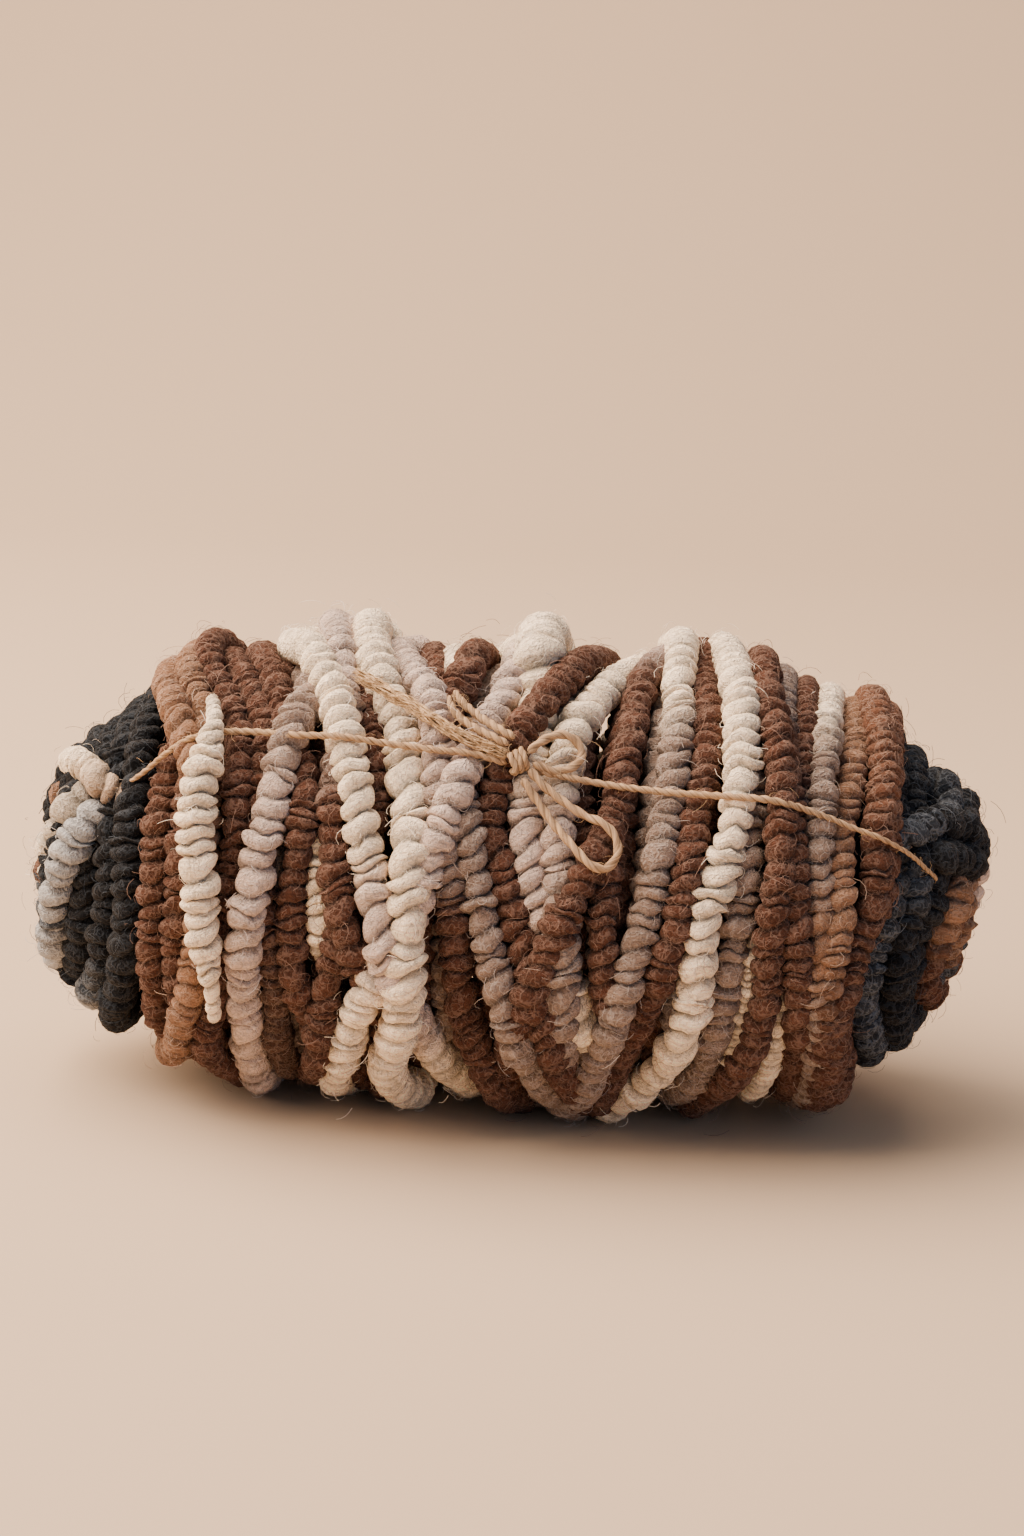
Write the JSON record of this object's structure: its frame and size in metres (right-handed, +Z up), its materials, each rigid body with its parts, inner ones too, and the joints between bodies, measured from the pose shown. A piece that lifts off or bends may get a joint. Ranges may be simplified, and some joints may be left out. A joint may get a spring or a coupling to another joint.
{
  "type": "rug yarn roll",
  "caption": "Roll of thick-and-thin core-spun rug yarn, wound crosswise with rounded ends, tied lengthwise with jute twine in a bow.",
  "frame": {"origin": "on the surface that the roll rests on, under the middle of its box", "axes": "+X along the roll's axis, +Y away from the side with the bow, +Z up"},
  "size_m": [0.3791, 0.209, 0.1954],
  "materials": {
    "wound_wool": "space-dyed core-spun wool, brown, cream, taupe and charcoal",
    "cream_wool": "undyed cream core-spun wool",
    "jute": "natural two-ply jute twine"
  },
  "bodies": {
    "root": {"wound_yarn": "wound_wool", "loose_end": "cream_wool", "tie_wrap": "jute", "tie_knot": "jute", "tie_long_loop": "jute", "tie_short_loop": "jute", "tie_long_end": "jute", "tie_lower_cut_end": "jute", "tie_upper_cut_end": "jute"}
  },
  "joints": []
}
